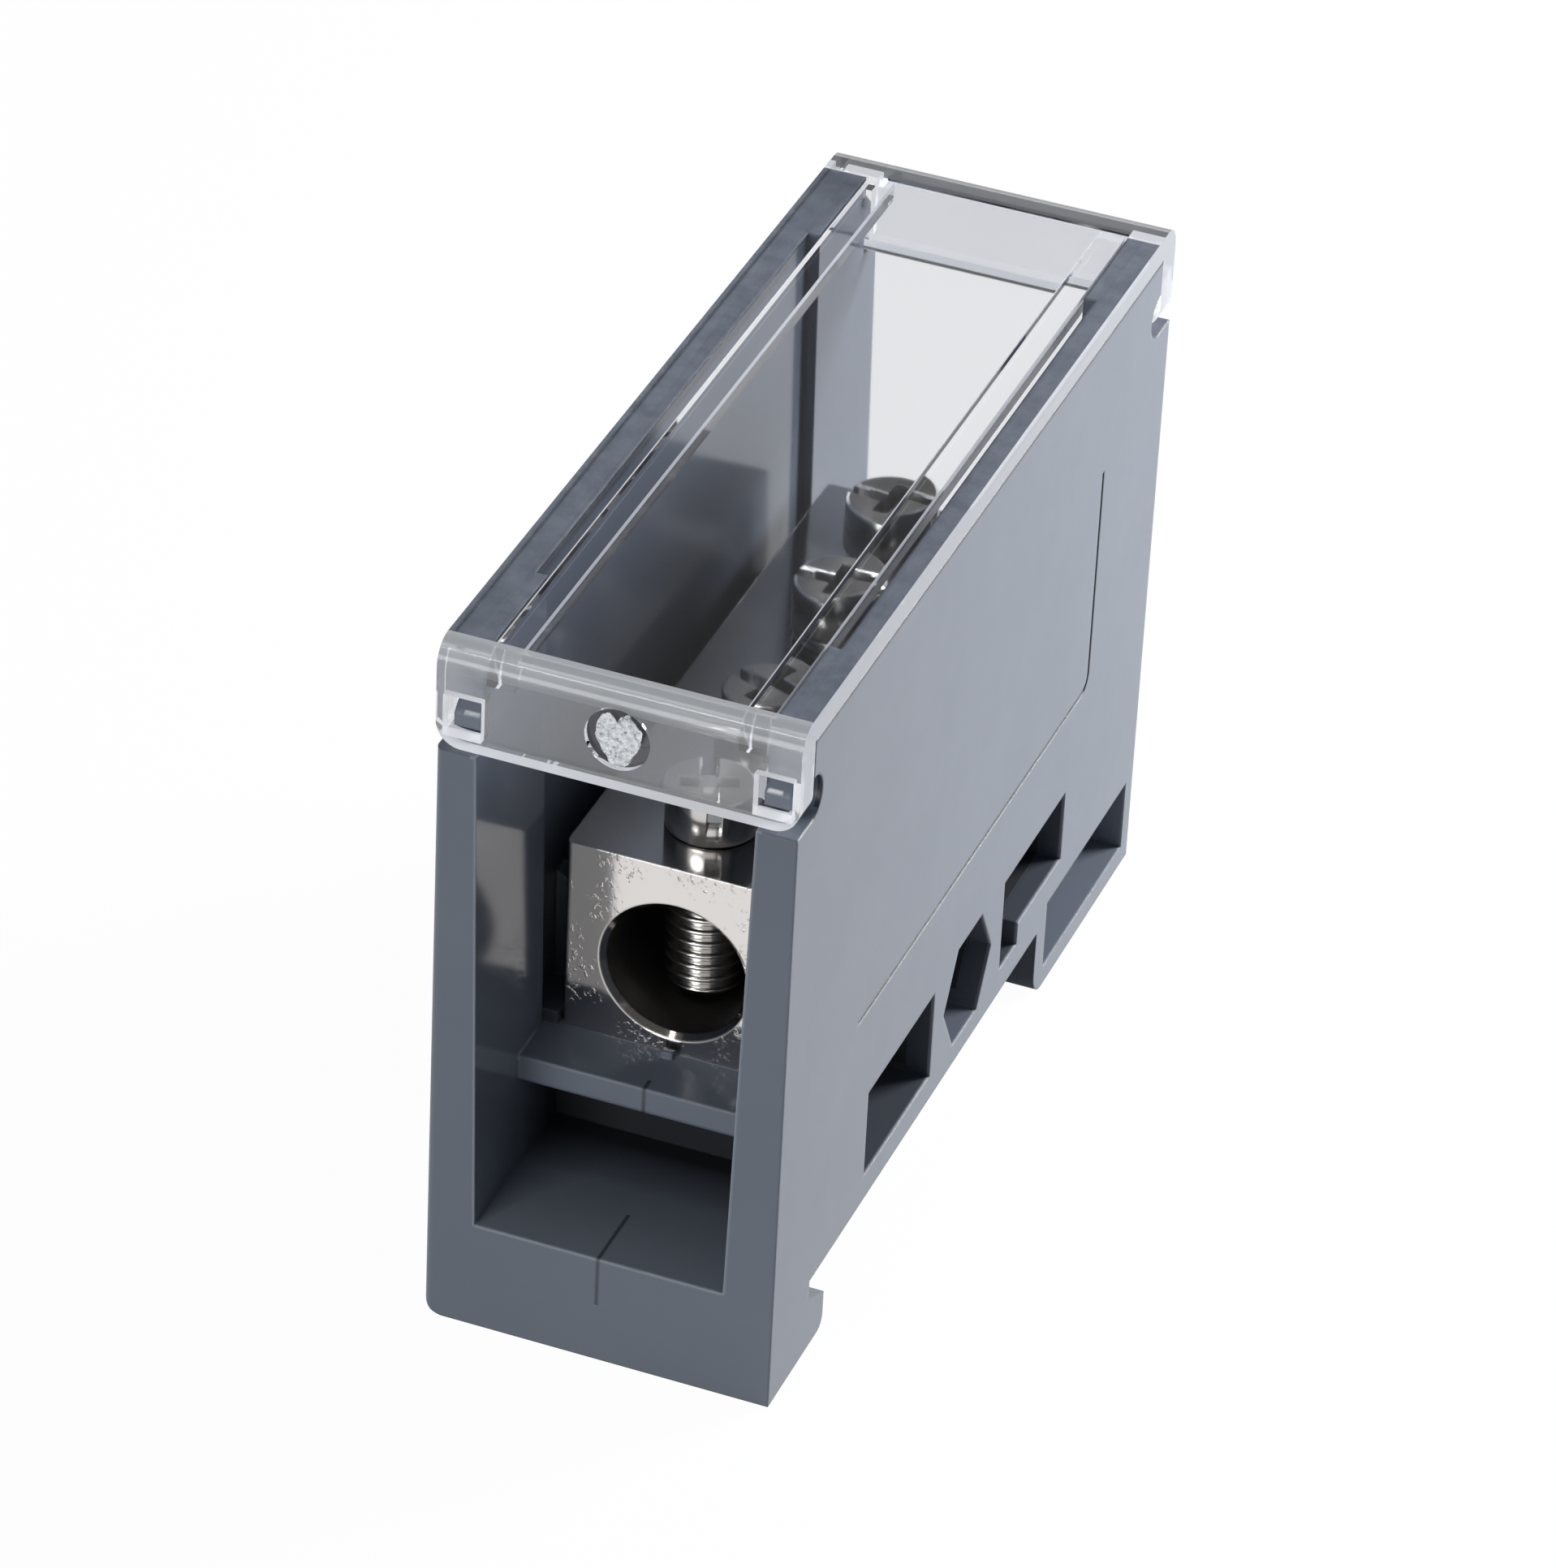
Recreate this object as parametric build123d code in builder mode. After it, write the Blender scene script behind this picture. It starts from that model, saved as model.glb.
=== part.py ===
from build123d import *
import os

# Single-pole power distribution block for a 35 mm rail, in millimetres.
# The origin is the middle of the underside. X runs across the width, with the marked side
# wall at +X. Y runs along the length, with the line side at -Y, and Z points up.

# Overall size, with the cover on
body_length = 60.0
body_width = 21.0
body_height = 45.0

# Clear cover: a top plate with a snap flange down each end and two locating ribs below
plate_thickness = 1.5
cover_edge_radius = 1.5
flange_thickness = 2.0
flange_drop = 4.9
flange_corner_radius = 1.5
flange_gap = 0.1
notch_gap = 0.3
cover_rib_width = 1.6
cover_rib_height = 1.2
cover_rib_gap = 0.12
gate_radius = 1.9
gate_depth = 0.35

# Snap windows in the flanges, and the housing's lugs that sit in them
window_width = 2.25
window_height = 2.6
window_sill = 0.7
window_edge_margin = 0.4
lug_side_gap = 0.35
lug_lift_gap = 0.25
lug_reach = 1.3
lug_tip_height = 0.8
lug_height = 2.1
pry_radius = 1.4
pry_depth = 0.8

# Housing: the bays taper with the mould's draft, and the walls are thinner in the middle
wall_foot_thickness = 3.0
wall_head_thickness = 2.3
wall_middle_thickness = 1.6
outer_bottom_radius = 1.2
outer_upright_radius = 0.5
bay_floor = 7.0
bay_undercut = 5.7
shelf_top = 14.7
shelf_thickness = 1.6
shelf_overhang = 3.9

# Nickel-plated conductor block on the shelf
block_length = 40.0
block_width = 13.4
block_height = 12.4
block_edge_radius = 0.35
bore_radius = 4.2
bore_height = 5.4
bore_mouth_chamfer = 0.35

# What holds the block in its seat: kerbs and guide ribs beside it, a stop at each end
seat_end_gap = 0.3
seat_side_gap = 0.05
kerb_height = 0.9
guide_thickness = 1.2
guide_height = 8.3
guide_lead_in = 1.5
guide_setback = 4.0
stop_width = 0.8
stop_length = 0.4
stop_height = 0.4

# Clamp screws, in two pairs along the block. The first two are turned right down, and the
# lifts say how far each one stands above that.
screw_pitch = 8.2
screw_pair_gap = 10.8
first_screw_setback = 5.15
screw_lifts = [0.0, 0.0, 0.95, 1.75]
thread_radius = 2.5
thread_gap = 0.06
thread_point_chamfer = 0.9
thread_point_gap = 0.12
head_radius = 2.75
head_height = 3.2
head_seat_gap = 0.05
head_chamfer = 0.25
slot_width = 0.8
slot_depth = 1.4
cross_width = 1.1
cross_reach = 1.75
cross_depth = 1.8
cross_taper = 8

# Rail recess below: a hooked lip in front, a springy foot with a catch behind
rail_width = 35.0
rail_thickness = 1.0
rail_play = 0.2
recess_ceiling = 4.8
front_foot_length = 5.8
hook_throat = 1.3
hook_lip_length = 2.5
hook_lip_slope = 1.15
hook_tip_radius = 0.8
catch_width = 12.0
catch_reach = 2.7
catch_bite = 0.7
catch_nose = 0.8
catch_gap = 0.15
rear_foot_radius = 1.6
foot_front_wall = 1.65
foot_back_wall = 1.25
foot_sole = 1.3
foot_slot_height = 4.7

# Coring pockets in both side walls, down to a web on the mid-plane
web_thickness = 1.8
pocket_skin = 1.7
front_pocket_roof = 0.7
rear_pocket_roof = 0.3
front_pocket_end = 2.2
rear_pocket_end = 1.6
pocket_rib = 1.85
hexagon_radius = 3.95
hexagon_shift = 0.4
hexagon_lift = 0.15
leg_width = 3.0
leg_height = 1.5

# Marking field on the right wall: a fine groove along its lower and its rear edge
field_front_margin = 11.5
field_rear_margin = 10.7
field_bottom_margin = 18.8
field_top_margin = 9.8
field_corner_radius = 1.0
groove_width = 0.3
groove_depth = 0.25

# Places worked out from the sizes above
half_length = body_length / 2
half_width = body_width / 2
wall_top = body_height - plate_thickness
flange_bottom = wall_top - flange_drop
notch_face = half_length - flange_thickness - flange_gap
notch_bottom = flange_bottom - notch_gap
window_x = half_width - window_edge_margin - window_width / 2
window_bottom = flange_bottom + window_sill
lug_width = window_width - 2 * lug_side_gap
lug_bottom = window_bottom + lug_lift_gap
shelf_bottom = shelf_top - shelf_thickness
shelf_end = block_length / 2 + shelf_overhang
bay_back = shelf_end - bay_undercut
seat_end = block_length / 2 + seat_end_gap
seat_side = block_width / 2 + seat_side_gap
middle_side = half_width - wall_middle_thickness
middle_step = wall_head_thickness - wall_middle_thickness
block_top = shelf_top + block_height
bore_z = shelf_top + bore_height
hook_root = -half_length + front_foot_length
hook_tip = hook_root + hook_lip_length
catch_tip = hook_root + rail_play + rail_width - catch_bite
catch_top = recess_ceiling - rail_thickness - catch_gap
rear_foot = catch_tip + catch_reach
lip_top = recess_ceiling - hook_throat


def bay_side(z):
    # half the clear width of an end bay at height z; the middle is wider by the middle step
    foot = half_width - wall_foot_thickness
    head = half_width - wall_head_thickness
    return foot + (head - foot) * (z - bay_floor) / (wall_top - bay_floor)


os.makedirs("parts", exist_ok=True)

# Housing: one grey moulding. Its side, front and plan outlines meet in one body.
with BuildPart() as housing:
    with BuildSketch(Plane.YZ.offset(-half_width)):
        with BuildLine():
            Polyline(
                (-half_length, 0),
                (hook_tip, 0),
                (hook_tip, lip_top - hook_lip_slope),
                (hook_root, lip_top),
                (hook_root, recess_ceiling),
                (rear_foot, recess_ceiling),
                (rear_foot, 0),
                (half_length, 0),
                (half_length, wall_top),
                (-half_length, wall_top),
                close=True,
            )
        make_face()
        fillet(vertices().sort_by_distance((hook_tip, 0))[0], hook_tip_radius)
        fillet(vertices().sort_by_distance((rear_foot, 0))[0], rear_foot_radius)
    extrude(amount=body_width)
    with BuildSketch(Plane.XZ.offset(-half_length)):
        with Locations((0, wall_top / 2)):
            Rectangle(body_width, wall_top)
        fillet(vertices().sort_by_distance((-half_width, 0))[0], outer_bottom_radius)
    extrude(amount=body_length, mode=Mode.INTERSECT)
    with BuildSketch(Plane.XY):
        Rectangle(body_width, body_length)
        fillet(vertices().group_by(Axis.X)[0], outer_upright_radius)
    extrude(amount=wall_top, mode=Mode.INTERSECT)

    # end bays below, beside and above the shelf, and the wider middle that takes the block
    bays = [
        (-half_length, -bay_back, bay_floor, shelf_bottom, 0),
        (bay_back, half_length, bay_floor, shelf_bottom, 0),
        (-half_length, -shelf_end, shelf_bottom, shelf_top, 0),
        (shelf_end, half_length, shelf_bottom, shelf_top, 0),
        (-half_length, half_length, shelf_top, wall_top, 0),
        (-seat_end, seat_end, shelf_top, wall_top, middle_step),
    ]
    for y_from, y_to, z_from, z_to, step in bays:
        low, high = bay_side(z_from) + step, bay_side(z_to) + step
        with BuildSketch(Plane.XZ.offset(-y_to)):
            with BuildLine():
                Polyline((-low, z_from), (low, z_from), (high, z_to), (-high, z_to), close=True)
            make_face()
        extrude(amount=y_to - y_from, mode=Mode.SUBTRACT)

    # kerbs along the block
    kerb_width = middle_side - seat_side
    kerb_x = seat_side + kerb_width / 2
    with BuildSketch(Plane.XY.offset(shelf_top)):
        with Locations((-kerb_x, 0), (kerb_x, 0)):
            Rectangle(kerb_width, 2 * seat_end)
    extrude(amount=kerb_height)

    # guide ribs on both side walls, sloped on top to lead the block in
    guide_top = shelf_top + guide_height
    for y in (-seat_end + guide_setback, seat_end - guide_setback):
        with BuildSketch(Plane.XZ.offset(-y - guide_thickness / 2)):
            with BuildLine():
                Polyline(
                    (seat_side, shelf_top),
                    (middle_side, shelf_top),
                    (middle_side, guide_top),
                    (seat_side, guide_top - guide_lead_in),
                    close=True,
                )
            make_face()
            mirror(about=Plane.YZ)
        extrude(amount=guide_thickness)

    # stops at the block's ends
    stop_y = seat_end + stop_length / 2
    with BuildSketch(Plane.XY.offset(shelf_top)):
        with Locations((0, -stop_y), (0, stop_y)):
            Rectangle(stop_width, stop_length)
    extrude(amount=stop_height)

    # notches that take the cover's flanges
    with BuildSketch(Plane.XY.offset(notch_bottom)):
        with Locations((0, -half_length), (0, half_length)):
            Rectangle(body_width, 2 * (half_length - notch_face))
    extrude(amount=wall_top - notch_bottom, mode=Mode.SUBTRACT)

    # pry reliefs behind the flanges, in both side walls
    pry_z = notch_bottom + pry_radius
    for x in (-half_width, half_width - pry_depth):
        with BuildSketch(Plane.YZ.offset(x)):
            with Locations((-notch_face, pry_z), (notch_face, pry_z)):
                Circle(pry_radius)
        extrude(amount=pry_depth, mode=Mode.SUBTRACT)

    # snap lugs on the four wall ends, hooked below and sloped above
    for x in (-window_x, window_x):
        with BuildSketch(Plane.YZ.offset(x - lug_width / 2)):
            with BuildLine():
                Polyline(
                    (notch_face, lug_bottom),
                    (notch_face + lug_reach, lug_bottom),
                    (notch_face + lug_reach, lug_bottom + lug_tip_height),
                    (notch_face, lug_bottom + lug_height),
                    close=True,
                )
            make_face()
            mirror(about=Plane.YZ)
        extrude(amount=lug_width)

    # coring pockets from both sides
    pocket_depth = (body_width - web_thickness) / 2
    pocket_floor = recess_ceiling + pocket_skin
    front_end = -bay_back + front_pocket_end
    front_rib = hexagon_shift - hexagon_radius - pocket_rib
    front_roof = shelf_bottom - front_pocket_roof
    hexagon_z = (pocket_floor + front_roof) / 2 + hexagon_lift
    rear_rib = hexagon_shift + hexagon_radius + pocket_rib
    rear_end = bay_back - rear_pocket_end
    rear_roof = shelf_bottom - rear_pocket_roof
    for x in (-half_width, half_width - pocket_depth):
        with BuildSketch(Plane.YZ.offset(x)):
            with Locations(((front_end + front_rib) / 2, (pocket_floor + front_roof) / 2)):
                Rectangle(front_rib - front_end, front_roof - pocket_floor)
            with Locations((hexagon_shift, hexagon_z)):
                RegularPolygon(hexagon_radius, 6)
            with BuildLine():
                Polyline(
                    (rear_rib, pocket_floor),
                    (rear_rib + leg_width, pocket_floor),
                    (rear_rib + leg_width, pocket_floor + leg_height),
                    (rear_end, pocket_floor + leg_height),
                    (rear_end, rear_roof),
                    (rear_rib, rear_roof),
                    close=True,
                )
            make_face()
        extrude(amount=pocket_depth, mode=Mode.SUBTRACT)

    # slot right through the rear foot, which makes its front wall springy
    slot_front = rear_foot + foot_front_wall
    slot_rear = half_length - foot_back_wall
    with BuildSketch(Plane.YZ.offset(-half_width)):
        with Locations(((slot_front + slot_rear) / 2, foot_sole + foot_slot_height / 2)):
            Rectangle(slot_rear - slot_front, foot_slot_height)
    extrude(amount=body_width, mode=Mode.SUBTRACT)

    # rail catch on that wall, sloped below so that the rail pushes it back
    with BuildSketch(Plane.YZ.offset(-catch_width / 2)):
        with BuildLine():
            Polyline(
                (rear_foot, rear_foot_radius),
                (rear_foot, catch_top),
                (catch_tip, catch_top),
                (catch_tip, catch_top - catch_nose),
                close=True,
            )
        make_face()
    extrude(amount=catch_width)

    # marking field's groove
    field_rear = half_length - field_rear_margin
    with BuildSketch(Plane.YZ.offset(half_width)):
        with BuildLine():
            FilletPolyline(
                (-half_length + field_front_margin, field_bottom_margin),
                (field_rear, field_bottom_margin),
                (field_rear, wall_top - field_top_margin),
                radius=field_corner_radius,
            )
        trace(line_width=groove_width)
    extrude(amount=-groove_depth, mode=Mode.SUBTRACT)

housing.part.label = "housing"
export_step(housing.part, "parts/housing.step")

# Cover: one clear moulding
with BuildPart() as cover:
    with BuildSketch(Plane.YZ.offset(-half_width)):
        with Locations((0, (flange_bottom + body_height) / 2)):
            Rectangle(body_length, body_height - flange_bottom)
        fillet(vertices().group_by(Axis.Y)[-1], cover_edge_radius)
        with Locations((0, (flange_bottom + wall_top) / 2)):
            Rectangle(body_length - 2 * flange_thickness, wall_top - flange_bottom, mode=Mode.SUBTRACT)
    extrude(amount=body_width)
    fillet(edges().filter_by(Axis.Y).group_by(Axis.Z)[0], flange_corner_radius)

    # snap windows through both flanges
    window_z = window_bottom + window_height / 2
    with BuildSketch(Plane.XZ.offset(-half_length)):
        with Locations((-window_x, window_z), (window_x, window_z)):
            Rectangle(window_width, window_height)
    extrude(amount=body_length, mode=Mode.SUBTRACT)

    # locating ribs just inside the side walls
    rib_bottom = wall_top - cover_rib_height
    rib_x = bay_side(rib_bottom) - cover_rib_gap - cover_rib_width / 2
    with BuildSketch(Plane.XY.offset(rib_bottom)):
        with Locations((-rib_x, 0), (rib_x, 0)):
            Rectangle(cover_rib_width, body_length - 2 * flange_thickness)
    extrude(amount=cover_rib_height)

    # sunk gate mark in the front flange
    with BuildSketch(Plane.XZ.offset(half_length)):
        with Locations((0, (flange_bottom + body_height) / 2)):
            Circle(gate_radius)
    extrude(amount=-gate_depth, mode=Mode.SUBTRACT)

cover.part.label = "cover"
export_step(cover.part, "parts/cover.step")

# Conductor block: a through bore for the wires and a tapped hole for each clamp screw
first_screw = -block_length / 2 + first_screw_setback
second_screw = first_screw + screw_pitch
third_screw = second_screw + screw_pair_gap
fourth_screw = third_screw + screw_pitch
screw_rows = [first_screw, second_screw, third_screw, fourth_screw]
with BuildPart() as conductor_block:
    with BuildSketch(Plane.XY.offset(shelf_top)):
        Rectangle(block_width, block_length)
        fillet(vertices(), block_edge_radius)
    extrude(amount=block_height)
    with BuildSketch(Plane.XZ.offset(-block_length / 2)):
        with Locations((0, bore_z)):
            Circle(bore_radius)
    extrude(amount=block_length, mode=Mode.SUBTRACT)
    chamfer(edges().filter_by(GeomType.CIRCLE).filter_by(Plane.XZ), bore_mouth_chamfer)
    with BuildSketch(Plane.XY.offset(bore_z)):
        with Locations([(0, y) for y in screw_rows]):
            Circle(thread_radius + thread_gap)
    extrude(amount=block_top - bore_z, mode=Mode.SUBTRACT)

conductor_block.part.label = "conductor_block"
export_step(conductor_block.part, "parts/conductor_block.step")

# Clamp screws: a threaded shank with a chamfered point, and a head with a slot and a cross
point_radius = thread_radius - thread_point_chamfer
point_z = bore_z - (bore_radius**2 - point_radius**2) ** 0.5 + thread_point_gap
shank_length = block_top + head_seat_gap - point_z
for number, (y, lift) in enumerate(zip(screw_rows, screw_lifts), start=1):
    head_bottom = point_z + lift + shank_length
    head_top = head_bottom + head_height
    with BuildPart() as screw:
        with BuildSketch(Plane.XY.offset(point_z + lift)):
            with Locations((0, y)):
                Circle(thread_radius)
        extrude(amount=shank_length)
        chamfer(edges().group_by(Axis.Z)[0], thread_point_chamfer)
        with BuildSketch(Plane.XY.offset(head_bottom)):
            with Locations((0, y)):
                Circle(head_radius)
        extrude(amount=head_height)
        chamfer(edges().group_by(Axis.Z)[-1], head_chamfer)
        with BuildSketch(Plane.XY.offset(head_top)):
            with Locations((0, y)):
                Rectangle(2 * head_radius, slot_width)
        extrude(amount=-slot_depth, mode=Mode.SUBTRACT)
        with BuildSketch(Plane.XY.offset(head_top)):
            with Locations((0, y)):
                Rectangle(2 * cross_reach, cross_width)
                Rectangle(cross_width, 2 * cross_reach)
        extrude(amount=-cross_depth, taper=cross_taper, mode=Mode.SUBTRACT)
    screw.part.label = f"clamp_screw_{number}"
    export_step(screw.part, f"parts/{screw.part.label}.step")
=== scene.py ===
import bpy, bmesh
from math import radians, sin, cos, pi
from mathutils import Matrix, Vector, noise


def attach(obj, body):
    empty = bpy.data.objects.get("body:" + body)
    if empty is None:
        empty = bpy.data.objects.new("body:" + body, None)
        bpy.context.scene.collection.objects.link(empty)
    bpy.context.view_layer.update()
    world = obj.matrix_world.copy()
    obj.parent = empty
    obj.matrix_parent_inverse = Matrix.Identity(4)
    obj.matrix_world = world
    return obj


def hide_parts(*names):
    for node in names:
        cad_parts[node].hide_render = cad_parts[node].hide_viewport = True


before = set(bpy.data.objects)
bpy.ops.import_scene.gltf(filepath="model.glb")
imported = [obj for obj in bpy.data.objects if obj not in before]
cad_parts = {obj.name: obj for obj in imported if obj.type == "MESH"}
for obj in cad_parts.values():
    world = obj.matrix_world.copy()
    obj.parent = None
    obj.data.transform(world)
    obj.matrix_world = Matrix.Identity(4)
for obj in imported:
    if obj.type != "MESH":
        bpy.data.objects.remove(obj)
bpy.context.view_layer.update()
print("frame loaded:", ", ".join(sorted(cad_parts)))

mm = 0.001
middle = Vector((0, 0, 22.5 * mm))  # of the whole block, which the camera and the lamps face


class Field:
    # one socket of a material, so that shader maths reads as plain expressions
    def __init__(self, finish, socket):
        self.finish = finish
        self.socket = socket

    def maths(self, operation, first, second=None):
        values = {0: first} if second is None else {0: first, 1: second}
        return self.finish.add("ShaderNodeMath", {"operation": operation}, values)

    def __add__(self, other): return self.maths("ADD", self, other)
    def __radd__(self, other): return self.maths("ADD", other, self)
    def __sub__(self, other): return self.maths("SUBTRACT", self, other)
    def __rsub__(self, other): return self.maths("SUBTRACT", other, self)
    def __mul__(self, other): return self.maths("MULTIPLY", self, other)
    def __rmul__(self, other): return self.maths("MULTIPLY", other, self)
    def __pow__(self, other): return self.maths("POWER", self, other)
    def __abs__(self): return self.maths("ABSOLUTE", self)
    def __gt__(self, other): return self.maths("GREATER_THAN", self, other)
    def __lt__(self, other): return self.maths("LESS_THAN", self, other)
    def most(self, other): return self.maths("MAXIMUM", self, other)


class Finish:
    # a material, or the world, and the nodes in it
    def __init__(self, owner):
        self.owner = owner
        owner.use_nodes = True
        self.tree = owner.node_tree
        self.tree.nodes.clear()

    def add(self, kind, settings=None, sockets=None, output=None):
        # settings go first, because they decide which sockets a node has
        made = self.tree.nodes.new(kind)
        for key, value in (settings or {}).items():
            setattr(made, key, value)
        for key, value in (sockets or {}).items():
            plug = made.inputs[key] if isinstance(key, int) else self.named(made.inputs, key)
            if isinstance(value, Field):
                self.tree.links.new(value.socket, plug)
            elif isinstance(value, tuple) and len(value) == 3 and plug.type == "RGBA":
                plug.default_value = (*value, 1)
            else:
                plug.default_value = value
        shown = self.named(made.outputs, output) if output else None
        if shown is None and len(made.outputs):
            shown = next(s for s in made.outputs if s.enabled)
        return Field(self, shown)

    def named(self, sockets, name):
        return next(s for s in sockets if s.name == name and s.enabled)

    def place(self):
        # position on the piece, in metres
        return self.add("ShaderNodeTexCoord", output="Object")

    def split(self, vector):
        made = self.add("ShaderNodeSeparateXYZ", {}, {"Vector": vector}).socket.node
        return [Field(self, made.outputs[axis]) for axis in "XYZ"]

    def axes(self, here):
        # coordinates by name; side and end count both ways from the middle
        x, y, z = self.split(here)
        return {"x": x, "y": y, "z": z, "side": abs(x), "end": abs(y)}

    def normal(self):
        return self.add("ShaderNodeNewGeometry", output="True Normal")

    def facing(self):
        return self.split(self.normal())

    def rays(self, *kinds):
        outputs = self.add("ShaderNodeLightPath").socket.node.outputs
        return [Field(self, outputs[kind]) for kind in kinds]

    def stretched(self, vector, scales):
        return self.add("ShaderNodeVectorMath", {"operation": "MULTIPLY"}, {0: vector, 1: scales})

    def likeness(self, first, second):
        # 1 where two directions agree
        return self.add("ShaderNodeVectorMath", {"operation": "DOT_PRODUCT"}, {0: first, 1: second}, "Value")

    def grain(self, vector, size, detail=2.0, rough=0.5):
        # noise whose lumps are about size metres across
        values = {"Vector": vector, "Scale": 1 / size, "Detail": detail, "Roughness": rough}
        return self.add("ShaderNodeTexNoise", {}, values)

    def span(self, value, low, high, outLow=0.0, outHigh=1.0, kind="LINEAR"):
        ends = {"Value": value, "From Min": low, "From Max": high, "To Min": outLow, "To Max": outHigh}
        return self.add("ShaderNodeMapRange", {"interpolation_type": kind}, ends)

    def blend(self, mask, first, second):
        return self.add("ShaderNodeMix", {"data_type": "RGBA"}, {"Factor": mask, "A": first, "B": second})

    def mixed(self, mask, first, second):
        return self.add("ShaderNodeMixShader", {}, {0: mask, 1: first, 2: second})

    def bump(self, height, depth, strength=1.0, onto=None):
        values = {"Strength": strength, "Distance": depth, "Height": height}
        if onto is not None:
            values["Normal"] = onto
        return self.add("ShaderNodeBump", {}, values)

    def softEdge(self, radius):
        return self.add("ShaderNodeBevel", {"samples": 4}, {"Radius": radius})

    def surface(self, shader):
        kind = "World" if isinstance(self.owner, bpy.types.World) else "Material"
        self.add("ShaderNodeOutput" + kind, {}, {"Surface": shader})
        return self.owner


def newFinish(name):
    return Finish(bpy.data.materials.new(name))


def zone(axes, limits):
    # 1 where each named coordinate lies between its two limits in mm, None being no limit
    mask = 1.0
    for name, (low, high) in limits.items():
        if low is not None:
            mask = mask * (axes[name] > low * mm)
        if high is not None:
            mask = mask * (axes[name] < high * mm)
    return mask


def addPiece(name, mesh, *materials):
    piece = bpy.data.objects.new(name, mesh)
    bpy.context.scene.collection.objects.link(piece)
    for material in materials:
        mesh.materials.append(material)
    return piece


# Camera, solved from the object's edges in the photograph
viewpoint = {
    "azimuth": 19.94, "elevation": 34.01, "roll": 2.93,
    "distance": 452.26 * mm, "across": -1.65 * mm, "up": -1.59 * mm,
    "focalPixels": 9684.65, "framePixels": 1932, "sensor": 36.0,
    "nearest": 0.01, "farthest": 20,
}


def makeCamera(v):
    a, e, r = radians(v["azimuth"]), radians(v["elevation"]), radians(v["roll"])
    back = Vector((sin(a) * cos(e), -cos(a) * cos(e), sin(e)))
    level = Vector((cos(a), sin(a), 0))
    rise = back.cross(level)
    right = level * cos(r) + rise * sin(r)
    up = rise * cos(r) - level * sin(r)
    data = bpy.data.cameras.new("photoCamera")
    data.sensor_width = v["sensor"]
    data.lens = v["focalPixels"] * v["sensor"] / v["framePixels"]
    data.clip_start, data.clip_end = v["nearest"], v["farthest"]
    camera = bpy.data.objects.new("photoCamera", data)
    bpy.context.scene.collection.objects.link(camera)
    spot = middle + back * v["distance"] + right * v["across"] + up * v["up"]
    camera.matrix_world = Matrix.Translation(spot) @ Matrix((right, up, back)).transposed().to_4x4()
    bpy.context.scene.camera = camera


makeCamera(viewpoint)
bpy.context.scene.view_settings.view_transform = "Standard"
print("camera set")


# Studio: white surroundings below, a darker room above, lamps beside the grooved wall, in front and on high
studio = {
    "ambient": (0.88, 0.93, 1.0), "ambientLevel": 0.15,
    "ceiling": 0.14, "wallTop": 0.15, "ceilingFrom": 0.50,
    "floorSize": 4.0, "floorShade": (0.55, 0.55, 0.55), "floorWhite": 0.93, "floorGlow": 1.045,
}
lamps = {
    "sideLamp": {"at": (0.15, 0.17, 0.105), "size": 0.11, "watts": 0.80, "shade": (0.99, 0.99, 1.0)},
    "frontLamp": {"at": (-0.12, -0.62, 0.17), "size": 0.26, "watts": 1.13, "shade": (0.95, 0.98, 1.0)},
    "glintLamp": {"at": (-0.17, -0.35, 0.49), "size": 0.06, "watts": 0.16, "shade": (1.0, 1.0, 1.0)},
}


def seenDirectly(f):
    # 1 for what the camera sees, also in gloss and through the clear cover
    camera, gloss, through = f.rays("Is Camera Ray", "Is Glossy Ray", "Is Transmission Ray")
    return camera.most(gloss).most(through)


def makeWorld(s):
    world = bpy.data.worlds.new("studio")
    bpy.context.scene.world = world
    f = Finish(world)
    height = f.split(f.add("ShaderNodeTexCoord", output="Generated"))[2]
    sky = f.span(height, s["wallTop"], s["ceilingFrom"], 1.0, s["ceiling"], "SMOOTHSTEP")
    white = f.add("ShaderNodeBackground", {}, {"Color": (1, 1, 1), "Strength": sky})
    ambient = f.add("ShaderNodeBackground", {}, {"Color": s["ambient"], "Strength": s["ambientLevel"]})
    f.surface(f.mixed(seenDirectly(f), ambient, white))


def makeFloor(s):
    half = s["floorSize"] / 2
    corners = [(-half, -half, 0), (half, -half, 0), (half, half, 0), (-half, half, 0)]
    mesh = bpy.data.meshes.new("floor")
    mesh.from_pydata(corners, [], [(0, 1, 2, 3)])
    f = newFinish("floorPaper")
    matte = f.add("ShaderNodeBsdfDiffuse", {}, {"Color": s["floorShade"]})
    glow = f.add("ShaderNodeEmission", {}, {"Color": (1, 1, 1), "Strength": s["floorGlow"]})
    paper = f.surface(f.mixed(seenDirectly(f) * s["floorWhite"], matte, glow))
    addPiece("floor", mesh, paper)


def makeLamps(table):
    for name, v in table.items():
        data = bpy.data.lights.new(name, "AREA")
        data.shape, data.size = "DISK", v["size"]
        data.energy, data.color = v["watts"], v["shade"]
        lamp = bpy.data.objects.new(name, data)
        lamp.location = v["at"]
        lamp.rotation_euler = (Vector(v["at"]) - middle).to_track_quat("Z", "Y").to_euler()
        bpy.context.scene.collection.objects.link(lamp)


makeWorld(studio)
makeFloor(studio)
makeLamps(lamps)
print("studio lit")


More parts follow.
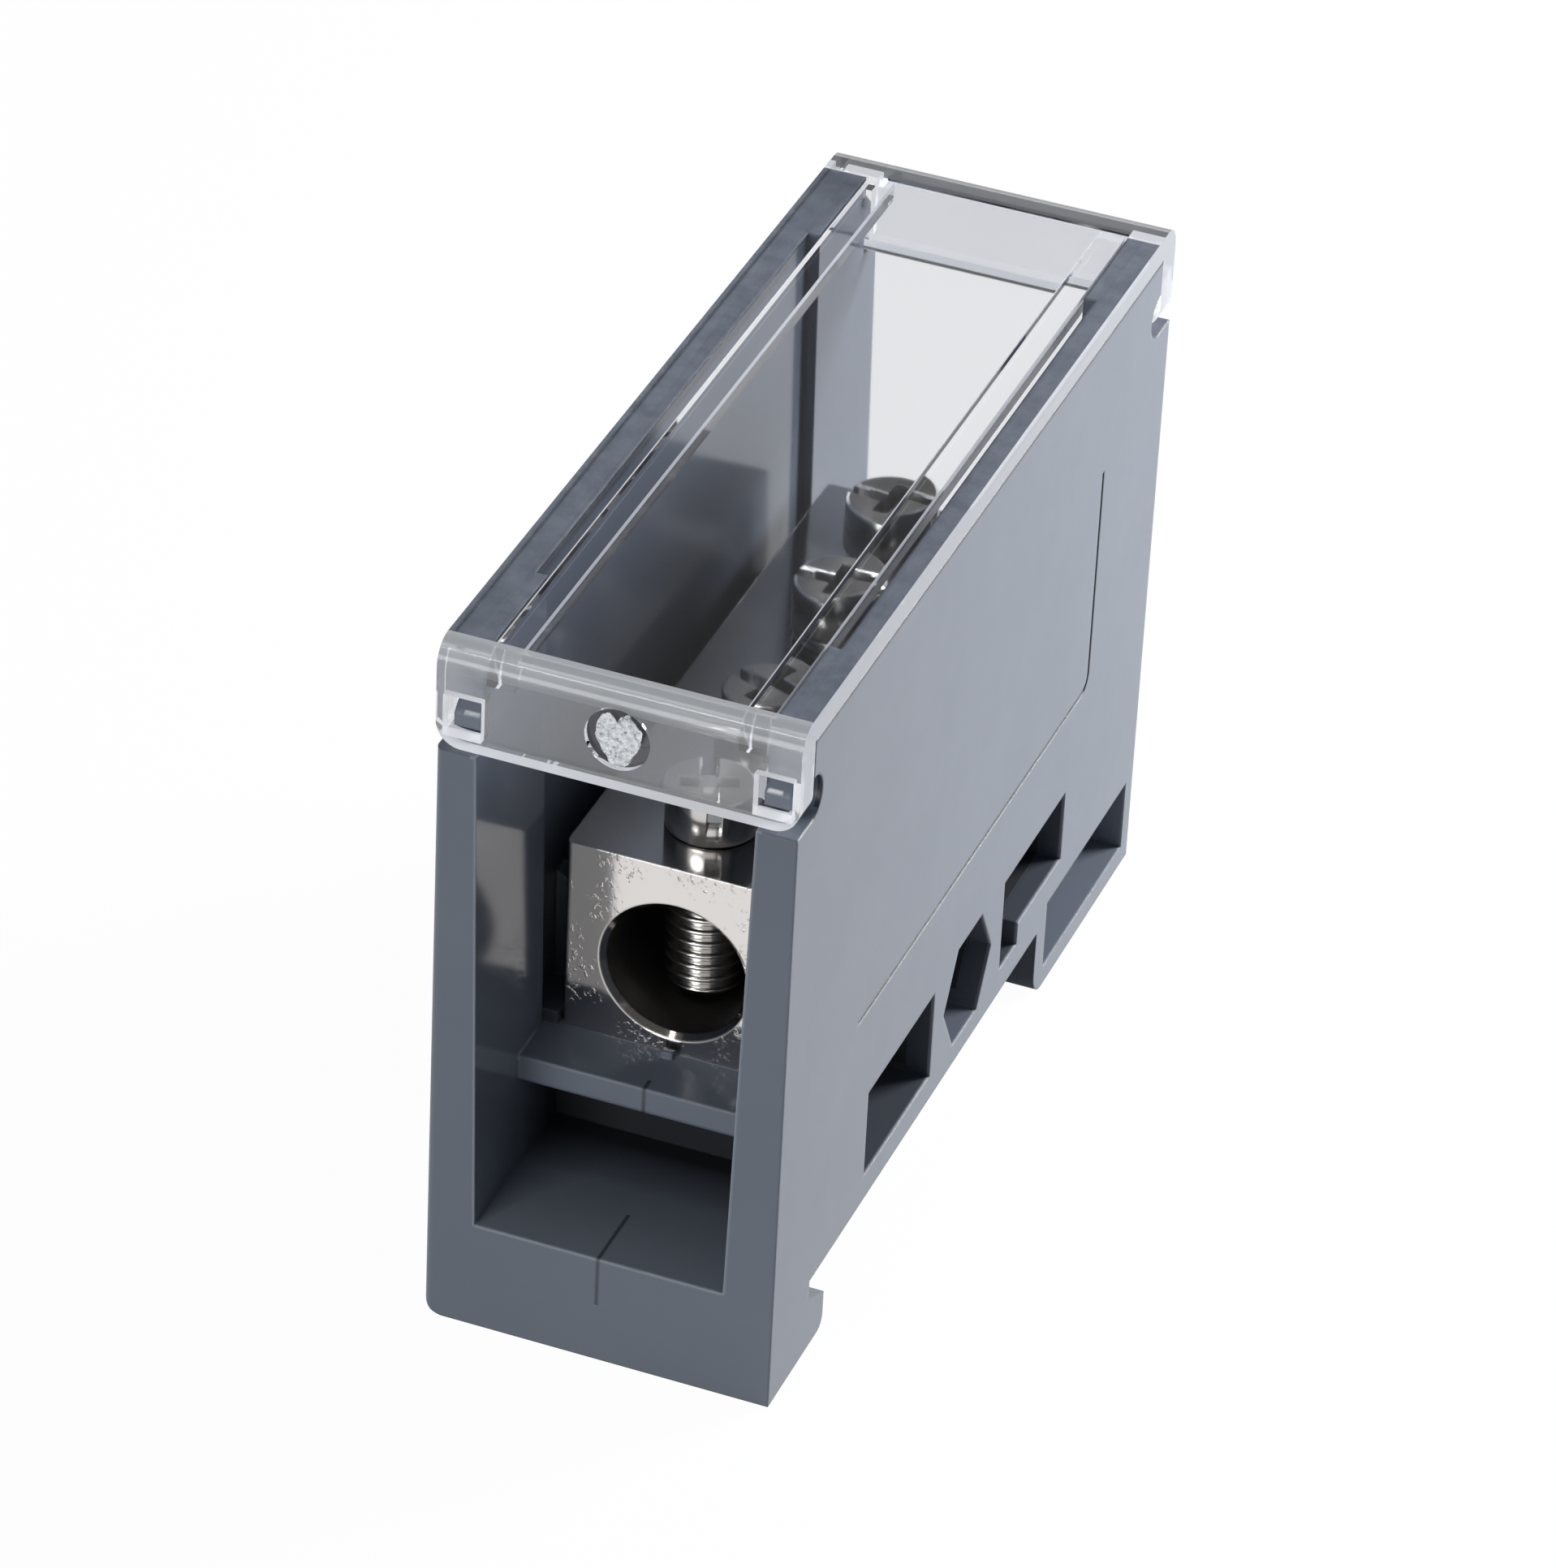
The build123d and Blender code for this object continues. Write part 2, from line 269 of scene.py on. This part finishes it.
# Housing: grey moulding, polished inside the bays and finely grained outside
housingLook = {
    "shade": (0.167, 0.193, 0.240), "pale": (0.196, 0.222, 0.272), "deep": (0.012, 0.014, 0.018),
    "lit": (0.300, 0.335, 0.390), "bright": (0.620, 0.680, 0.760), "landLight": (0.430, 0.465, 0.520),
    "outerRoughness": 0.34, "innerRoughness": 0.13, "unevenness": 0.06, "polish": 0.9, "index": 1.5,
    "cloud": 9 * mm, "mottle": 1.6 * mm, "rubbing": 2.5 * mm,
    "grain": 0.12 * mm, "grainDepth": 0.006 * mm, "grainStrength": 0.5,
    "edge": 0.28 * mm, "partingHalf": 0.11 * mm, "partingDepth": 3.0,
    # areas by their limits in mm, side and end counting both ways from the middle
    "zones": {
        "bays": {"side": (None, 9.2), "z": (6.9, None), "end": (None, 29.95)},
        "lands": {"z": (43.45, None)},
        "shadedSeams": {"z": (43.25, None)},
        "hollows": {"z": (6.95, 13.2), "side": (None, 9.0)},
        "pockets": {"z": (6.3, 12.9), "end": (None, 17.0), "side": (None, 10.3)},
        "footSlot": {"z": (1.3, 6.0), "y": (14.7, 28.7), "side": (None, 10.3)},
        "footFace": {"z": (None, 4.7), "y": (10.0, 14.8)},
        "besideBlock": {"side": (None, 9.2), "end": (None, 20.4), "z": (14.72, None)},
        "fieldGroove": {"x": (10.2, 10.47), "z": (13.5, 43.0), "end": (None, 27.0)},
        "mouthEdges": {"end": (29.6, None), "side": (None, 8.45), "z": (6.75, None)},
        "shelfEdges": {"end": (23.5, 24.2), "z": (14.4, 14.9)},
        "bayFloors": {"z": (6.8, 7.2)},
        "lips": {"z": (3.8, 7.1), "end": (25.5, None)},
        "shelfEnds": {"z": (13.0, 15.0), "end": (23.0, None)},
    },
    # how a shade fades in: from, to, and its share at either end
    "fades": {
        "cloud": (0.3, 0.7, 0.0, 0.5), "mottle": (0.35, 0.62, 0.55, 1.0),
        "hollow": (23.4 * mm, 19.4 * mm, 0.0, 0.96), "pocket": (2.8 * mm, 5.0 * mm, 0.30, 0.58),
        "besideBlock": (27.0 * mm, 23.0 * mm, 0.0, 0.66), "bayFloorLight": (23.0 * mm, 29.0 * mm, 0.0, 0.75),
        "edge": (0.998, 0.88, 0.0, 0.8),
    },
    "shares": {"seamShade": 0.75, "foot": 0.62, "groove": 0.85, "shelfEdge": 0.4, "parting": 0.7},
    "dulling": {"footFace": 0.6, "footSlot": 0.3, "hollow": 0.5},
    # how far a face has to look along an axis to count
    "looks": {"end": 0.949, "wall": 0.5, "floor": 0.8, "foot": -0.4},
}


def housingPlastic(v):
    f = newFinish("housingPlastic")
    here = f.place()
    at = f.axes(here)
    nx, ny, nz = f.facing()
    on = {name: zone(at, limits) for name, limits in v["zones"].items()}
    fades, shares, dulling, looks = v["fades"], v["shares"], v["dulling"], v["looks"]
    # inside of the bays, where the mould's core was polished
    inside = on["bays"] * (abs(ny) < looks["end"])
    cloud = f.span(f.grain(here, v["cloud"], 3.0), *fades["cloud"])
    shade = f.blend(cloud, v["shade"], v["pale"])
    # painted light: the top lands, where the cover presses on the walls, are painted pale and mottled
    landLight = on["lands"] * f.span(f.grain(here, v["mottle"], 4.0, 0.7), *fades["mottle"])
    shade = f.blend(landLight, shade, v["landLight"])
    # painted shade: a dark line along the tops of the side walls, just under the cover
    seamShade = on["shadedSeams"] * (abs(nx) > looks["wall"])
    shade = f.blend(seamShade * shares["seamShade"], shade, v["deep"])
    # painted light: the bay's floor is paler towards its mouth, and the edges round the mouth carry a
    # painted highlight
    soft = f.softEdge(v["edge"])
    turn = f.likeness(soft, f.normal())
    edge = f.span(turn, *fades["edge"]) * on["mouthEdges"].most(on["shelfEdges"] * shares["shelfEdge"])
    bayFloorLight = (nz > looks["floor"]) * on["bayFloors"] * f.span(at["end"], *fades["bayFloorLight"])
    shade = f.blend(edge, f.blend(bayFloorLight, shade, v["lit"]), v["bright"])
    # painted shade: little light gets back out of the hollows, the pockets, the foot, the gap beside the
    # block and the marking field's groove
    hollow = on["hollows"] * f.span(at["end"], *fades["hollow"])
    pocket = on["pockets"] * f.span(at["end"], *fades["pocket"])
    footFace = on["footFace"] * (ny < looks["foot"])
    beside = on["besideBlock"] * f.span(at["z"], *fades["besideBlock"])
    foot = on["footSlot"].most(footFace) * shares["foot"]
    dim = hollow.most(pocket).most(foot).most(beside).most(on["fieldGroove"] * shares["groove"])
    shade = f.blend(dim, shade, v["deep"])
    # the mould's parting line down the middle of the lips and of the shelf's ends
    half = v["partingHalf"]
    line = f.span(at["side"], half * 0.5, half * 1.5, 1.0, 0.0)
    parting = line * on["lips"].most(on["shelfEnds"])
    shade = f.blend(parting * shares["parting"], shade, v["deep"])
    rough = v["outerRoughness"] + inside * (v["innerRoughness"] - v["outerRoughness"])
    rough = rough + (f.grain(here, v["rubbing"]) - 0.5) * v["unevenness"]
    rough = rough + footFace * dulling["footFace"] + on["footSlot"] * dulling["footSlot"]
    rough = rough + hollow * dulling["hollow"]
    grain = f.grain(here, v["grain"], 3.0, 0.6) * (1 - inside * v["polish"])
    normal = f.bump(grain - parting * v["partingDepth"], v["grainDepth"], v["grainStrength"], soft)
    values = {"Base Color": shade, "Roughness": rough, "IOR": v["index"], "Normal": normal}
    return f.surface(f.add("ShaderNodeBsdfPrincipled", {}, values))


# Cover: clear moulded plastic, whose cut edges gather light and look white, which is painted on as a glowing
# white
coverLook = {
    "tint": (0.885, 0.895, 0.920), "roughness": 0.03, "bend": 1.49,
    "glowingWhite": (0.70, 0.71, 0.725), "paintedEdgeDark": (0.09, 0.09, 0.095), "paintedSideLight": (0.31, 0.335, 0.375),
    "glow": (0.16, 0.165, 0.172), "rimGlow": (0.42, 0.425, 0.435), "milkRoughness": 0.3,
    "gateHeight": 41.8 * mm, "gateClear": 2.2 * mm,
    "rimFrom": 28.6 * mm, "windowSill": 39.2 * mm, "rimStep": 0.6 * mm,
    "zones": {
        "plateSides": {"side": (10.3, None)},
        "windowRims": {"z": (None, 42.4), "side": (None, 10.3)},
        "ribRoots": {"side": (None, 8.3), "z": (43.15, 43.6), "end": (None, 28.1)},
        "roundings": {"z": (43.55, None), "end": (28.45, None)},
        "corners": {"z": (41.0, None), "end": (28.45, None)},
        "flanges": {"end": (29.9, None)},
    },
    "fades": {
        "roundingWhite": (43.8 * mm, 44.7 * mm, 0.34, 0.76), "glancing": (0.48, 0.72),
        "flangeSheen": (7.6 * mm, 9.4 * mm, 0.22, 0.44),
    },
    "shares": {"plateSide": 0.75, "windowRim": 0.90, "ribRoot": 0.85, "corner": 0.92},
    "looks": {"side": 0.6, "rim": 0.4, "rounding": 0.05, "flange": 0.9, "slant": 0.35},
}


def clearPlastic(v):
    f = newFinish("clearPlastic")
    at = f.axes(f.place())
    across, along = [abs(part) for part in f.facing()[:2]]
    on = {name: zone(at, limits) for name, limits in v["zones"].items()}
    fades, shares, looks = v["fades"], v["shares"], v["looks"]
    # the sight is bent by the plastic, while lamplight falls straight through its thin walls
    bent = f.add("ShaderNodeBsdfPrincipled", {}, {
        "Base Color": v["tint"], "Roughness": v["roughness"], "IOR": v["bend"], "Transmission Weight": 1.0})
    straight = f.add("ShaderNodeBsdfTransparent", {}, {"Color": v["tint"]})
    shadow, scattered = f.rays("Is Shadow Ray", "Is Diffuse Ray")
    clear = f.mixed(shadow.most(scattered), bent, straight)
    # painted light: edges that look white, the plate sides, flange edges, window rims and rib roots, are
    # painted white and made to glow
    within = f.add("ShaderNodeNewGeometry", output="Backfacing")
    outside = 1 - within
    plateSide = on["plateSides"] * (across > looks["side"]) * outside
    fromGate = (at["x"] ** 2 + (at["z"] - v["gateHeight"]) ** 2) ** 0.5
    rimFrom = v["rimFrom"] + (at["z"] > v["windowSill"]) * v["rimStep"]
    windowRim = on["windowRims"] * (along < looks["rim"]) * (at["end"] > rimFrom)
    windowRim = windowRim * (fromGate > v["gateClear"])
    ribRoot = on["ribRoots"] * (across > looks["side"])
    # painted light and shade: the rounded long edges are painted white face on and painted dark at a
    # glancing view
    rounding = on["roundings"] * (along > looks["rounding"]) * outside
    slant = f.add("ShaderNodeLayerWeight", {}, {"Blend": 0.5}, "Facing")
    corner = on["corners"] * (along > looks["rounding"]) * within * (slant > looks["slant"])
    # painted reflection: the flanges are lightened a little, more so towards their upper corners
    flangeSheen = on["flanges"] * (along > looks["flange"]) * outside * f.span(at["side"], *fades["flangeSheen"])
    share = (plateSide * shares["plateSide"]).most(windowRim * shares["windowRim"])
    share = share.most(ribRoot * shares["ribRoot"]).most(rounding * f.span(at["z"], *fades["roundingWhite"]))
    share = share.most(corner * shares["corner"]).most(flangeSheen)
    dark = (rounding * f.span(slant, *fades["glancing"])).most(corner)
    shade = f.blend(dark, f.blend(plateSide, v["glowingWhite"], v["paintedSideLight"]), v["paintedEdgeDark"])
    glow = f.blend(dark, f.blend(windowRim, v["glow"], v["rimGlow"]), v["paintedEdgeDark"])
    glowingWhite = f.add("ShaderNodeBsdfPrincipled", {}, {
        "Base Color": shade, "Roughness": v["milkRoughness"],
        "Emission Color": glow, "Emission Strength": 1.0})
    return f.surface(f.mixed(share, clear, glowingWhite))


# Conductor block: bright nickel over an extruded bar, with cut ends and a dull machined bore that is also
# painted dark with shade
blockLook = {
    "shade": (0.72, 0.69, 0.67), "pitDullAndMouthShade": (0.38, 0.36, 0.34), "boreMachinedAndShaded": (0.085, 0.080, 0.078),
    "topPaintedShade": (0.49, 0.48, 0.475), "topFade": (14.5 * mm, 18.5 * mm, 1.0, 0.40),
    "sideRoughness": 0.09, "endRoughness": 0.10, "boreRoughness": 0.38,
    "boreCentre": 20.1 * mm, "boreRadius": 4.25 * mm, "mouthRadius": 4.75 * mm, "mouthShare": 0.8,
    "pit": 0.34 * mm, "pitFade": (0.56, 0.70), "pitShare": 0.25, "pitRoughness": 0.15, "pitDepth": 0.03 * mm,
    "patch": 2.6 * mm, "patchFade": (0.46, 0.60),
    "streak": 0.30 * mm, "streakStretch": (1, 0.05, 1), "streakShare": 0.04, "streakDepth": 0.004 * mm,
    "streakStrength": 0.4, "pitStrength": 0.6, "edge": 0.16 * mm,
    "looks": {"end": 0.8, "top": 0.8, "bore": 0.3, "mouthFrom": 0.2, "mouthTo": 0.95},
}


def platedBlock(v):
    f = newFinish("platedBlock")
    here = f.place()
    at = f.axes(here)
    ny, nz = f.facing()[1:]
    along, looks = abs(ny), v["looks"]
    end = along > looks["end"]
    fromAxis = (at["x"] ** 2 + (at["z"] - v["boreCentre"]) ** 2) ** 0.5
    bore = (fromAxis < v["boreRadius"]) * (along < looks["bore"])
    mouth = (fromAxis < v["mouthRadius"]) * (along > looks["mouthFrom"]) * (along < looks["mouthTo"])
    # the cut ends are pitted in patches, and the drawn sides streaked along the bar
    patch = f.span(f.grain(here, v["patch"], 2.0), *v["patchFade"])
    pits = end * f.span(f.grain(here, v["pit"], 3.0, 0.6), *v["pitFade"]) * patch
    streak = f.grain(f.stretched(here, v["streakStretch"]), v["streak"], 3.0)
    # painted shade: the top face is painted darker, less so towards its ends
    top = (nz > looks["top"]) * f.span(at["end"], *v["topFade"])
    shade = f.blend(top, v["shade"], v["topPaintedShade"])
    # the pits are dulled, and the chamfer round the bore's mouth is painted with shade; the bore is painted
    # near black, partly its bare machined wall and partly painted shade
    shade = f.blend((pits * v["pitShare"]).most(mouth * v["mouthShare"]), shade, v["pitDullAndMouthShade"])
    shade = f.blend(bore, shade, v["boreMachinedAndShaded"])
    rough = v["sideRoughness"] + end * (v["endRoughness"] - v["sideRoughness"]) + pits * v["pitRoughness"]
    rough = rough + bore * v["boreRoughness"] + (streak - 0.5) * v["streakShare"]
    drawn = f.bump(streak, v["streakDepth"], v["streakStrength"], f.softEdge(v["edge"]))
    cut = f.bump(pits, v["pitDepth"], v["pitStrength"], drawn)
    values = {"Base Color": shade, "Metallic": 1.0, "Roughness": rough, "Normal": cut}
    return f.surface(f.add("ShaderNodeBsdfPrincipled", {}, values))


def dress(node, material):
    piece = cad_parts[node]
    piece.data.materials.clear()
    piece.data.materials.append(material)


dress("housing", housingPlastic(housingLook))
dress("cover", clearPlastic(coverLook))
dress("conductor_block", platedBlock(blockLook))
print("housing, cover and block finished")


# Clamp screws: turned, threaded, slotted and cross-recessed
screwLook = {
    "rows": [-14.85 * mm, -6.65 * mm, 4.15 * mm, 12.35 * mm], "turns": [-68, -22, 0, -6],
    "lifts": [0.0, 0.0, 0.95 * mm, 1.75 * mm],
    "point": 16.34 * mm, "headBottom": 27.15 * mm, "headTop": 30.35 * mm,
    "threadRadius": 2.5 * mm, "rootRadius": 2.09 * mm, "pitch": 0.8 * mm, "pointChamfer": 0.9 * mm,
    "flankFoot": 0.88, "flankWide": 0.70, "segments": 72, "stepsPerTurn": 12,
    "headRadius": 2.75 * mm, "headChamfer": 0.25 * mm, "footChamfer": 0.12 * mm, "chamferTurn": 0.35,
    "slotWidth": 0.8 * mm, "slotDepth": 1.4 * mm, "slotFlare": 0.16 * mm,
    "crossWidth": 1.1 * mm, "crossReach": 1.75 * mm, "crossDepth": 1.8 * mm, "crossNarrows": 0.25 * mm,
    "cutterRise": 0.5 * mm, "rim": 0.15 * mm, "floorSlack": 0.1 * mm, "topSlack": 0.01 * mm,
    "shade": (0.59, 0.57, 0.55), "roughness": 0.15, "unevenness": 0.10, "wash": 0.6 * mm,
    "sideFrom": 0.5, "sideRoughness": 0.05, "flatFrom": 0.9, "edge": 0.07 * mm,
    "ring": 0.35 * mm, "ringStretch": (0.2, 0.2, 3.0), "ringDepth": 0.006 * mm, "ringStrength": 0.5,
    "recessGlintShade": (0.93, 0.92, 0.90), "recessRoughness": 0.20, "recessUnevenness": 0.20,
    "recessWash": 0.3 * mm, "recessDepth": 0.02 * mm, "recessStrength": 0.4, "recessEdge": 0.05 * mm,
}


def screwPlating(v):
    f = newFinish("screwPlating")
    here = f.place()
    nz = f.facing()[2]
    wash = f.grain(here, v["wash"], 3.0)
    rings = f.grain(f.stretched(here, v["ringStretch"]), v["ring"], 2.0)
    rough = v["roughness"] + (wash - 0.5) * v["unevenness"] + (nz < v["sideFrom"]) * v["sideRoughness"]
    normal = f.bump(rings, v["ringDepth"], v["ringStrength"], f.softEdge(v["edge"]))
    values = {"Base Color": v["shade"], "Metallic": 1.0, "Roughness": rough, "Normal": normal}
    return f.surface(f.add("ShaderNodeBsdfPrincipled", {}, values))


# painted highlight: the walls of the slot and cross carry a brighter copy of the plating, so that their
# edges glint
def recessGlintPlating(v):
    f = newFinish("recessGlintPlating")
    wash = f.grain(f.place(), v["recessWash"], 2.0)
    rough = v["recessRoughness"] + (wash - 0.5) * v["recessUnevenness"]
    normal = f.bump(wash, v["recessDepth"], v["recessStrength"], f.softEdge(v["recessEdge"]))
    values = {"Base Color": v["recessGlintShade"], "Metallic": 1.0, "Roughness": rough, "Normal": normal}
    return f.surface(f.add("ShaderNodeBsdfPrincipled", {}, values))


def lathe(shell, rows, segments):
    # closed skin through rings given as (height, radius or radius by angle)
    rings = []
    for height, radius in rows:
        ring = []
        for i in range(segments):
            angle = 2 * pi * i / segments
            r = radius(angle) if callable(radius) else radius
            ring.append(shell.verts.new((r * cos(angle), r * sin(angle), height)))
        rings.append(ring)
    for low, high in zip(rings, rings[1:]):
        for i in range(segments):
            j = (i + 1) % segments
            shell.faces.new((low[i], low[j], high[j], high[i]))
    shell.faces.new(list(reversed(rings[0])))
    shell.faces.new(rings[-1])


def threadMesh(v):
    # right-hand thread whose crests reach the shank's full radius
    def crest(height):
        def radius(angle):
            phase = (height / v["pitch"] - angle / (2 * pi)) % 1.0
            fall = abs(phase - 0.5) * 2
            lift = min(1.0, max(0.0, (v["flankFoot"] - fall) / v["flankWide"]))
            full = v["rootRadius"] + (v["threadRadius"] - v["rootRadius"]) * lift
            return min(full, v["threadRadius"] - v["pointChamfer"] + (height - v["point"]))
        return radius
    step = v["pitch"] / v["stepsPerTurn"]
    count = int((v["headBottom"] - v["point"]) / step) + 1
    heights = [v["point"] + i * step for i in range(count)]
    shell = bmesh.new()
    lathe(shell, [(height, crest(height)) for height in heights], v["segments"])
    return shell


def headMesh(v):
    r, c, foot, part = v["headRadius"], v["headChamfer"], v["footChamfer"], v["chamferTurn"]
    rows = [(v["headBottom"], r - foot), (v["headBottom"] + foot, r), (v["headTop"] - c, r),
            (v["headTop"] - c * part, r - c * part), (v["headTop"], r - c)]
    shell = bmesh.new()
    lathe(shell, rows, v["segments"])
    return shell


def recessMesh(v):
    # cutters for the slot and for the two arms of the cross, as tapered bars above one another
    shell = bmesh.new()
    rise = v["cutterRise"]

    def bar(halfLong, halfWide, narrowing, depth, turned):
        corners = []
        for height, less in ((v["headTop"] - depth, narrowing), (v["headTop"] + rise, 0.0)):
            a, b = halfLong - less, halfWide - less
            for px, py in ((-a, -b), (a, -b), (a, b), (-a, b)):
                spot = (-py, px) if turned else (px, py)
                corners.append(shell.verts.new((*spot, height)))
        sides = [(0, 1, 5, 4), (1, 2, 6, 5), (2, 3, 7, 6), (3, 0, 4, 7), (3, 2, 1, 0), (4, 5, 6, 7)]
        for side in sides:
            shell.faces.new([corners[i] for i in side])

    flare = v["slotFlare"]
    bar(v["headRadius"] + rise, v["slotWidth"] / 2, 0.0, v["slotDepth"], False)
    bar(v["headRadius"] + 2 * rise, v["slotWidth"] / 2 + flare + rise, flare + rise, flare, False)
    for turned in (False, True):
        bar(v["crossReach"], v["crossWidth"] / 2, v["crossNarrows"], v["crossDepth"], turned)
    return shell


def meshFrom(shell, name):
    mesh = bpy.data.meshes.new(name)
    shell.to_mesh(mesh)
    shell.free()
    return mesh


def cutRecess(v):
    head = addPiece("headBlank", meshFrom(headMesh(v), "headBlank"))
    cutter = addPiece("recessCutter", meshFrom(recessMesh(v), "recessCutter"))
    cut = head.modifiers.new("recess", "BOOLEAN")
    cut.operation, cut.solver, cut.object, cut.use_self = "DIFFERENCE", "EXACT", cutter, True
    bpy.context.view_layer.update()
    seen = head.evaluated_get(bpy.context.evaluated_depsgraph_get())
    mesh = bpy.data.meshes.new_from_object(seen)
    for spare in (head, cutter):
        bpy.data.objects.remove(spare)
    return mesh


def inRecess(spot, v):
    floor = v["headTop"] - v["crossDepth"] - v["floorSlack"]
    return spot.xy.length < v["headRadius"] - v["rim"] and floor < spot.z < v["headTop"] - v["topSlack"]


def makeScrews(v):
    plating, recess = screwPlating(v), recessGlintPlating(v)
    head = cutRecess(v)
    shank = meshFrom(threadMesh(v), "shank")
    for number, (row, lift, turn) in enumerate(zip(v["rows"], v["lifts"], v["turns"]), 1):
        shell = bmesh.new()
        shell.from_mesh(head)
        shell.from_mesh(shank)
        for face in shell.faces:
            face.material_index = int(inRecess(face.calc_center_median(), v))
            face.smooth = abs(face.normal.z) < v["flatFrom"] and face.material_index == 0
        # the whole screw turns on its own axis, thread and all
        bmesh.ops.transform(shell, matrix=Matrix.Rotation(radians(turn), 4, "Z"), verts=shell.verts)
        bmesh.ops.transform(shell, matrix=Matrix.Translation((0, row, lift)), verts=shell.verts)
        node = f"clamp_screw_{number}"
        piece = addPiece(f"clampScrew{number}", meshFrom(shell, f"clampScrew{number}"), plating, recess)
        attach(piece, node)
        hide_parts(node)


makeScrews(screwLook)
print("screws made")


# Gate vestige: the rough stub that is left in the dimple of the cover's front flange
gateLook = {
    "centre": (0, -29.83 * mm, 41.75 * mm), "wide": 1.30 * mm, "tall": 1.80 * mm, "thick": 0.15 * mm,
    "front": -29.995 * mm, "subdivisions": 5,
    "lump": 0.16, "lumpFineness": 2.3, "lumpShift": (3.1, 0.4, 7.7), "crumb": 0.08, "crumbFineness": 6.0,
    "notch": 0.75, "notchFrom": 0.30, "notchAside": 0.12, "notchSlope": 2.2, "taper": 0.40,
    "white": (0.92, 0.94, 0.96), "clear": (0.9, 0.92, 0.94), "glow": 0.25, "roughness": 0.35,
    "chip": 0.55 * mm, "crack": 0.28 * mm, "crackShare": 0.6, "depth": 0.35 * mm,
    "gloss": 0.35, "glossRoughness": 0.12, "cover": (0.40, 0.56, 0.15, 0.95),
}


def gatePlastic(v):
    f = newFinish("gatePlastic")
    here = f.place()
    values = {"Vector": here, "Scale": 1 / v["chip"]}
    chips = f.add("ShaderNodeTexVoronoi", {"feature": "F1"}, values, "Distance")
    crack = f.grain(here, v["crack"], 4.0, 0.7)
    normal = f.bump(chips + crack * v["crackShare"], v["depth"], 1.0)
    values = {"Color": (1, 1, 1), "Roughness": v["glossRoughness"], "Normal": normal}
    gloss = f.add("ShaderNodeBsdfGlossy", {}, values)
    through = f.add("ShaderNodeBsdfTransparent", {}, {"Color": v["clear"]})
    # the stub is white plastic, given a faint painted glow
    glowingWhite = f.add("ShaderNodeBsdfPrincipled", {}, {
        "Base Color": v["white"], "Roughness": v["roughness"], "Normal": normal,
        "Emission Color": v["white"], "Emission Strength": v["glow"]})
    flash = f.mixed(v["gloss"], glowingWhite, gloss)
    return f.surface(f.mixed(f.span(crack, *v["cover"]), through, flash))


def makeGate(v):
    shell = bmesh.new()
    bmesh.ops.create_icosphere(shell, subdivisions=v["subdivisions"], radius=1.0)
    for vert in shell.verts:
        way = vert.co.normalized()
        lumps = v["lump"] * noise.noise(way * v["lumpFineness"] + Vector(v["lumpShift"]))
        crumbs = v["crumb"] * noise.noise(way * v["crumbFineness"])
        # a notch at the top gives the broken stub its heart shape
        beside = max(0.0, 1 - abs(way.x + v["notchAside"]) * v["notchSlope"])
        notch = v["notch"] * max(0.0, way.z - v["notchFrom"]) * beside
        taper = 1 - v["taper"] * max(0.0, -way.z)
        spot = way * (1 + lumps + crumbs - notch)
        spot = Vector((spot.x * v["wide"] * taper, spot.y * v["thick"], spot.z * v["tall"]))
        vert.co = spot + Vector(v["centre"])
        vert.co.y = max(vert.co.y, v["front"])
    for face in shell.faces:
        face.smooth = True
    piece = addPiece("gateVestige", meshFrom(shell, "gateVestige"), gatePlastic(v))
    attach(piece, "cover")


makeGate(gateLook)
print("gate mark made")
